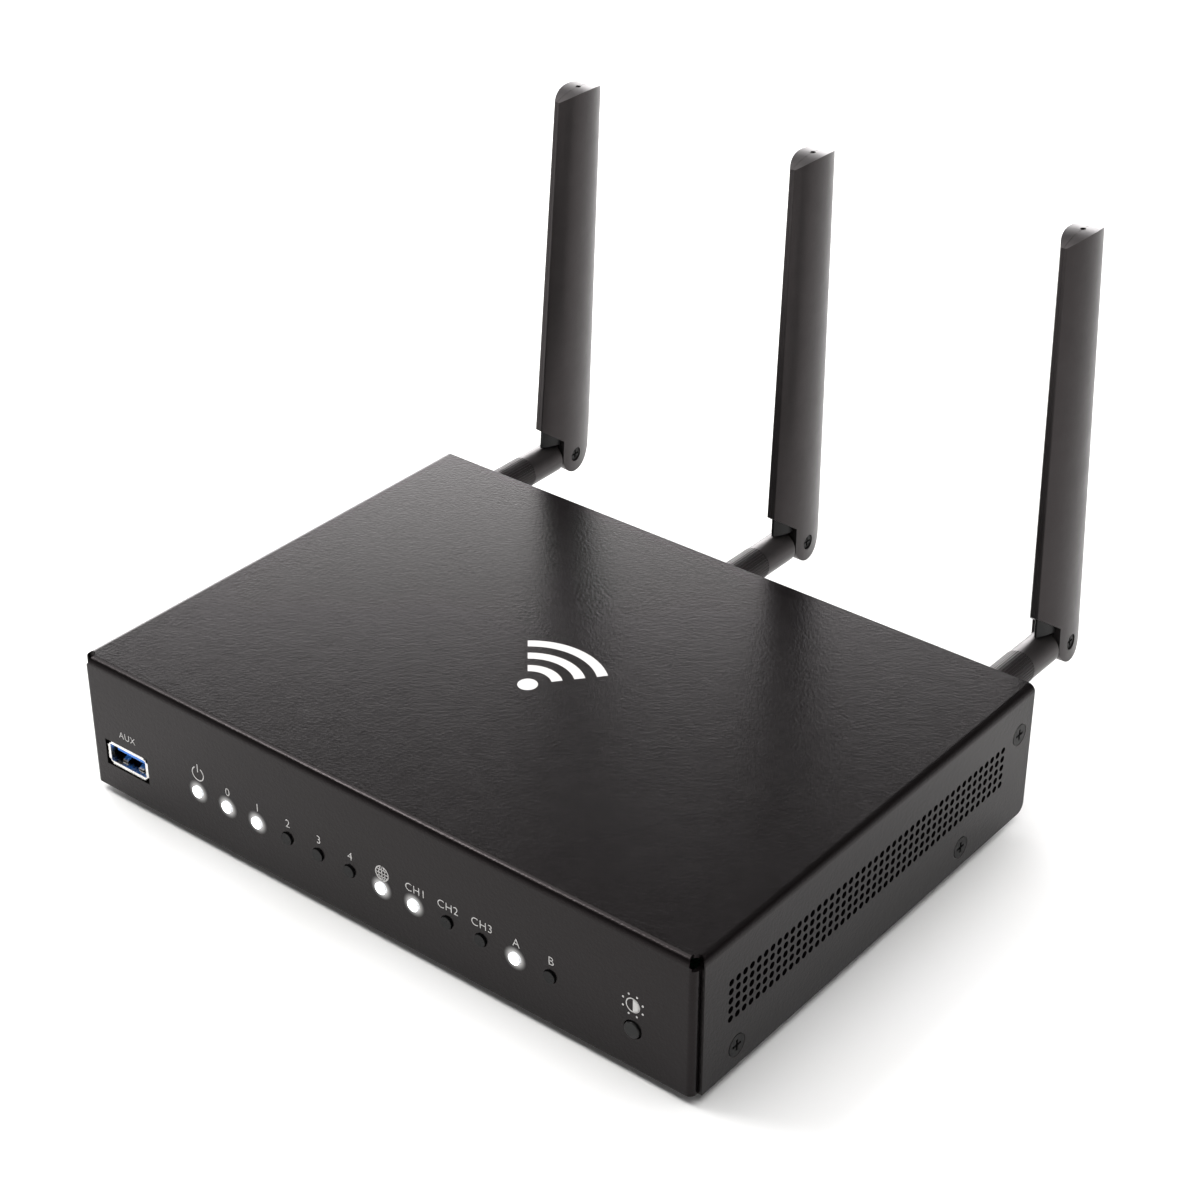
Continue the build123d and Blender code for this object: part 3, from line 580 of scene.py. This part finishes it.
def globe_icon(ink, centre):
    """Ring with two meridians, the axis, the equator and two parallels."""
    radius = 1.95
    u, v = centre
    ink.arc(centre, (radius, radius), LINE)
    ink.arc(centre, (0.95, radius), THIN_LINE)
    ink.line((u, v - radius), (u, v + radius), THIN_LINE)
    for rise in (-0.95, 0.0, 0.95):
        half = (radius**2 - rise**2) ** 0.5
        ink.line((u - half, v + rise), (u + half, v + rise), THIN_LINE)


def brightness_icon(ink, centre):
    """Half-filled ring with eight dots round it."""
    ink.arc(centre, (1.8, 1.8), LINE)
    ink.disc(centre, 1.8, -90, 90)
    for i in range(8):
        turn = radians(22.5 + 45 * i)
        ink.disc((centre[0] + 2.9 * cos(turn), centre[1] + 2.9 * sin(turn)), 0.27, count=12)


def front_labels():
    """Everything printed on the front panel, each label over its own light or socket."""
    ink = Print((0, FACE_Y, 0), (1, 0, 0), (0, 0, 1))
    pipes = sorted(
        islands("light_pipes_lit") + islands("light_pipes_unlit"), key=lambda box: box[0].x
    )
    names = ["power", "0", "1", "2", "3", "4", "globe", "CH1", "CH2", "CH3", "A", "B"]
    icons = {"power": power_icon, "globe": globe_icon}
    for (low, high), name in zip(pipes, names):
        u = (low.x + high.x) / 2 / MM + LABEL_SHIFT
        v = (high.z - PIPE_R) / MM + LABEL_RISE.get(name, DIGIT_RISE)
        if name in icons:
            icons[name](ink, (u, v))
        else:
            ink.letters(name, (u, v), LETTER)
    socket = mid("front_usb_shell")
    place = (socket.x / MM + SOCKET_LABEL[0], socket.z / MM + SOCKET_LABEL[1])
    ink.letters("AUX", place, SOCKET_LETTER)
    button = mid("brightness_button")
    brightness_icon(ink, (button.x / MM, button.z / MM + BUTTON_ICON_RISE))
    ink.finish("front_labels", "case")


def top_mark():
    """Plain wireless symbol, printed in the middle of the roof."""
    ink = Print((CASE_MID.x, CASE_MID.y, ROOF_Z), (1, 0, 0), (0, 1, 0))
    ink.disc(MARK_FOOT, MARK_DOT_R, count=48)
    for radius in MARK_ARCS:
        ink.arc(MARK_FOOT, (radius, radius), MARK_WIDTH, 50, 130)
    ink.finish("top_mark", "case")


front_labels()
top_mark()


# ---------------------------------------------------------------- floor, light and camera
CAMERA_PLACE = (0.33514, CASE_MID.y - 0.40007, BASE_Z + 0.37533)
CAMERA_TILT = 58.485
CAMERA_TURN = 38.825
CAMERA_LENS = 76.73
CAMERA_SHIFT = (0.0039, 0.0040)


def floor():
    """Plain pale ground, far wider than the view."""
    mesh = bpy.data.meshes.new("floor")
    reach = 6.0
    corners = [(-reach, -reach, 0), (reach, -reach, 0), (reach, reach, 0), (-reach, reach, 0)]
    mesh.from_pydata(corners, [], [(0, 1, 2, 3)])
    ground = bpy.data.objects.new("floor", mesh)
    scene.collection.objects.link(ground)
    mesh.materials.append(
        surface(
            "pale_floor",
            ((0.88, 0.88, 0.87), (0.9, 0.9, 0.9)),
            80 * MM,
            (0.75, 0.85),
            60 * MM,
            [],
        )
    )


def sky():
    """Bright low down, as the pale backdrop is, and dim overhead."""
    world = bpy.data.worlds.new("studio")
    world.use_nodes = True
    tree = world.node_tree
    where = make(tree, "ShaderNodeTexCoord").outputs["Generated"]
    height = make(tree, "ShaderNodeSeparateXYZ", {"Vector": where}).outputs["Z"]
    strength = between(tree, height, 0.95, 0.07, 0.12, 0.5)
    tree.links.new(strength, tree.nodes["Background"].inputs["Strength"])
    tree.nodes["Background"].inputs["Color"].default_value = (1.0, 0.995, 0.99, 1.0)
    scene.world = world


def softbox(name, place, target, size, radiance, tint=(1.0, 0.995, 0.99)):
    """Rectangular area light that faces a point, given by the brightness of its face."""
    light = bpy.data.lights.new(name, "AREA")
    light.shape = "RECTANGLE"
    light.size, light.size_y = size
    light.energy = radiance * pi * size[0] * size[1]
    light.color = tint
    lamp = bpy.data.objects.new(name, light)
    lamp.location = place
    lamp.rotation_euler = (Vector(target) - Vector(place)).to_track_quat("-Z", "Y").to_euler()
    scene.collection.objects.link(lamp)


def camera():
    """Long lens, from the front right and above. Its place is measured from the case."""
    lens = bpy.data.cameras.new("camera")
    lens.lens = CAMERA_LENS
    lens.sensor_width = 36.0
    lens.shift_x, lens.shift_y = CAMERA_SHIFT
    lens.clip_start = 0.05
    eye = bpy.data.objects.new("camera", lens)
    eye.location = CAMERA_PLACE
    eye.rotation_euler = (radians(CAMERA_TILT), 0.0, radians(CAMERA_TURN))
    scene.collection.objects.link(eye)
    scene.camera = eye


floor()
sky()
softbox("overhead", (-0.45, 0.0, 1.6), (-0.45, 0, 0), (3.3, 1.6), 3.15)
softbox("back_card", (-0.85, 1.05, 0.37), (0, 0, 0.37), (2.4, 0.74), 7.3, (1.0, 0.985, 0.99))
softbox("edge_strip", (-0.82, -0.34, 1.2), (0, -0.09, 0.04), (0.36, 0.2), 30.0)
camera()
scene.view_settings.view_transform = "Standard"
